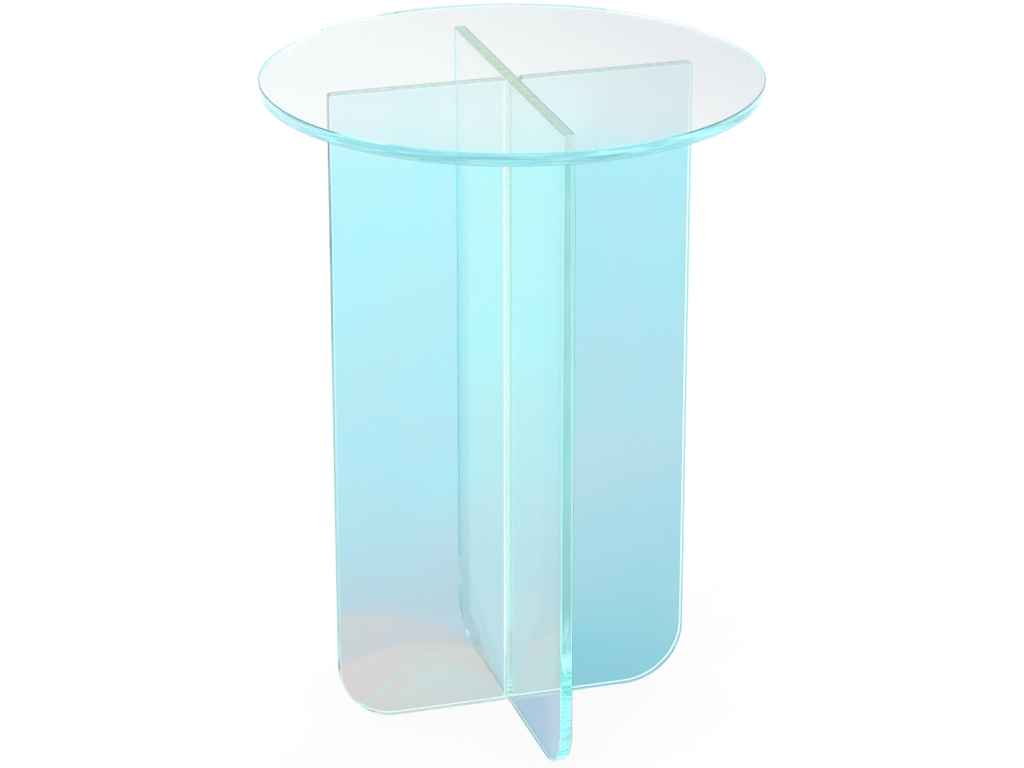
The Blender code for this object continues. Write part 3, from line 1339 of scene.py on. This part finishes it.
@dataclass
class AdhesiveJoints:
    """The strips of adhesive under the top and beside the cross panel.

    Args:
        cross_finish: The finish between the cross panel and the top.
        head_finish: The finish between the side panels and the top.
        side_finish: The finish between the side panels and the cross panel.
    """

    cross_finish: Adhesive = Adhesive(
        "cross_adhesive",
        CureAndGlow.CLOUDY,
        (0.20, 0.66, 0.26),
        (0.50, 0.98, 0.40),
        streaks=Adhesive.streaks.stretched(0.12, 1.0, 0.05),
        thick_axis=0,
        end_axis=1,
    )
    head_finish: Adhesive = Adhesive(
        "head_adhesive",
        CureAndGlow.CLOUDY,
        (0.36, 0.80, 0.72),
        (0.56, 0.98, 0.88),
        streaks=Adhesive.streaks.stretched(1.0, 0.12, 0.05),
        thick_axis=1,
    )
    side_finish: Adhesive = Adhesive(
        "side_adhesive", CureAndGlow.CLEAR, (0.34, 0.76, 0.70), (0.46, 0.84, 0.78)
    )

    def build(self, nodes: Mapping[str, Object]) -> list[Object]:
        """Dresses the strips.

        Args:
            nodes: The nodes of the frame.

        Returns:
            The strips.
        """
        pieces = []
        for names, finish in (
            (("cross_top_bond",), self.cross_finish),
            (("left_top_bond", "right_top_bond"), self.head_finish),
            (("left_side_bond", "right_side_bond"), self.side_finish),
        ):
            material = finish.material()
            pieces += [dress(nodes[name], material) for name in names]
        return pieces


def new_object(name: str, data: ID) -> Object:
    """Makes an object in the scene.

    Args:
        name: The object's name.
        data: Its mesh, camera or lamp.

    Returns:
        The object.
    """
    made = bpy.data.objects.new(name, data)
    bpy.context.scene.collection.objects.link(made)
    return made


def run_axis(node: str) -> int:
    """Returns the frame's axis that a panel or its film runs along."""
    return 1 if node.startswith("cross") else 0


def slot_name(node: str) -> str:
    """Returns the material slot of a panel or its film."""
    panel = "cross_panel" if node.startswith("cross") else "side_panel"
    return panel + ("_film" if node.endswith("film") else "_glass")


def dress(piece: Object, material: Material) -> Object:
    """Gives every material slot of a piece the same finish.

    Args:
        piece: The piece.
        material: Its finish.

    Returns:
        The piece.
    """
    if not piece.material_slots:
        piece.data.materials.append(material)
    for place in piece.material_slots:
        place.material = material
    return piece


# The studio


@dataclass
class Studio:
    """A white room with a pale floor, soft lamps and the camera.

    Args:
        camera_place: Where the camera stands.
        camera_turn_degrees: How far it is turned to the right.
        camera_dip_degrees: How far it looks down.
        lens_mm: Its focal length.
        sensor_mm: The width of its sensor.
        floor_size: The floor's length and width.
        floor_shade: The floor's colour.
        floor_roughness: How rough it is.
        floor_glow: How much of its light it gives off by itself, seen straight on.
        floor_glow_in_glass: The same, seen through glass or mirrored in it.
        floor_drop: How far it lies below the table's foot.
        horizon_light: The strength of the room's light at eye level and below.
        ceiling_light: Its strength overhead.
        ceiling_start: How steep a direction has to be for that, as the Z of its unit vector.
        lamp_power: The power of each lamp, in watts.
        lamp_size: Its width.
        left_lamp: The place of the left one.
        right_lamp: The place of the right one.
        bounces: How often a ray of light may bounce.
    """

    camera_place: Axes = (-0.791349, -2.612853, 1.394004)
    camera_turn_degrees: float = 16.84873
    camera_dip_degrees: float = 22.09788
    lens_mm: float = 126.854
    sensor_mm: float = 36.0
    floor_size: float = 40.0
    floor_shade: Colour = (0.94, 0.94, 0.94)
    floor_roughness: float = 0.9
    floor_glow: float = 0.9
    floor_glow_in_glass: float = 0.8
    floor_drop: float = 0.0004
    horizon_light: float = 0.86
    ceiling_light: float = 1.0
    ceiling_start: float = 0.75
    lamp_power: float = 24.0
    lamp_size: float = 1.2
    left_lamp: Axes = (-2.4, -1.2, 2.6)
    right_lamp: Axes = (2.2, 1.4, 2.8)
    bounces: int = 40

    def build(self) -> None:
        """Sets up the camera, the floor, the world and the lamps."""
        scene = bpy.context.scene
        scene.view_settings.view_transform = "Standard"
        for kind in ("max", "transmission", "glossy", "transparent_max"):
            setattr(scene.cycles, kind + "_bounces", self.bounces)
        self.place_camera()
        self.lay_floor()
        self.light_room()
        self.hang_lamps()

    def place_camera(self) -> None:
        """Puts the camera at the photograph's angle."""
        data = bpy.data.cameras.new("camera")
        data.lens = self.lens_mm
        data.sensor_width = self.sensor_mm
        data.clip_end = self.floor_size
        camera = new_object("camera", data)
        camera.location = self.camera_place
        camera.rotation_euler = (
            QUARTER_TURN - math.radians(self.camera_dip_degrees),
            0.0,
            -math.radians(self.camera_turn_degrees),
        )
        bpy.context.scene.camera = camera

    def lay_floor(self) -> None:
        """Lays the pale floor, which keeps the table's shadow and is open from below."""
        mesh = bpy.data.meshes.new("studio_floor")
        shape = bmesh.new()
        bmesh.ops.create_grid(shape, x_segments=1, y_segments=1, size=self.floor_size / 2)
        bmesh.ops.translate(shape, verts=shape.verts, vec=(0.0, 0.0, -self.floor_drop))
        shape.to_mesh(mesh)
        shape.free()
        material, sketch, shader, output = new_material("pale_floor")
        sketch.feed(shader.inputs["Base Color"], self.floor_shade)
        shader.inputs["Roughness"].default_value = self.floor_roughness
        shader.inputs["Specular IOR Level"].default_value = 0.0
        glow = sketch.node("ShaderNodeEmission", sockets={"Color": WHITE, "Strength": 1.0})
        path = sketch.node("ShaderNodeLightPath").outputs
        straight = sketch.signal(path["Is Camera Ray"]) * self.floor_glow
        in_gloss = sketch.signal(path["Is Glossy Ray"])
        in_glass = sketch.signal(path["Is Transmission Ray"]).highest(in_gloss)
        share = straight.highest(in_glass * self.floor_glow_in_glass)
        top = {0: share, 1: shader.outputs[0], 2: glow.outputs[0]}
        mixed = sketch.node("ShaderNodeMixShader", sockets=top)
        beneath = sketch.node("ShaderNodeNewGeometry").outputs["Backfacing"]
        opening = sketch.node("ShaderNodeBsdfTransparent")
        both = {0: beneath, 1: mixed.outputs[0], 2: opening.outputs[0]}
        seen = sketch.node("ShaderNodeMixShader", sockets=both)
        sketch.feed(output.inputs["Surface"], seen.outputs[0])
        mesh.materials.append(material)
        new_object("studio_floor", mesh)

    def light_room(self) -> None:
        """Lights the room, whose walls are a little dimmer than its ceiling."""
        world = bpy.data.worlds.new("white_room")
        bpy.context.scene.world = world
        world.use_nodes = True
        sketch = Sketch(world.node_tree)
        background = world.node_tree.nodes["Background"]
        background.inputs["Color"].default_value = (*WHITE, 1.0)
        way = sketch.node("ShaderNodeTexCoord").outputs["Generated"]
        up = sketch.node("ShaderNodeSeparateXYZ", sockets={0: way}).outputs["Z"]
        climb = sketch.rise(sketch.signal(up), 0.0, self.ceiling_start)
        room = climb * (self.ceiling_light - self.horizon_light) + self.horizon_light
        path = sketch.node("ShaderNodeLightPath").outputs
        seen = sketch.signal(path["Is Camera Ray"])
        sketch.feed(background.inputs["Strength"], room.highest(seen))

    def hang_lamps(self) -> None:
        """Hangs the two soft lamps, which point at the table."""
        for name, place in (("left_lamp", self.left_lamp), ("right_lamp", self.right_lamp)):
            data = bpy.data.lights.new(name, "AREA")
            data.energy = self.lamp_power
            data.size = self.lamp_size
            lamp = new_object(name, data)
            lamp.location = place
            lamp.rotation_euler = (-Vector(place)).to_track_quat("-Z", "Y").to_euler()


def main() -> None:
    """Loads the frame and builds the table and the studio."""
    logging.basicConfig(level=logging.INFO, format="%(name)s: %(message)s")
    for existing in list(bpy.data.objects):
        bpy.data.objects.remove(existing, do_unlink=True)
    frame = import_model()
    maker = PaneMaker()
    for assembly in (RoundTop(maker), CrossedPanels(maker), AdhesiveJoints()):
        for piece in assembly.build(frame["nodes"]):
            LOG.info("made %s", piece.name)
    Studio().build()


if __name__ == "__main__":
    main()
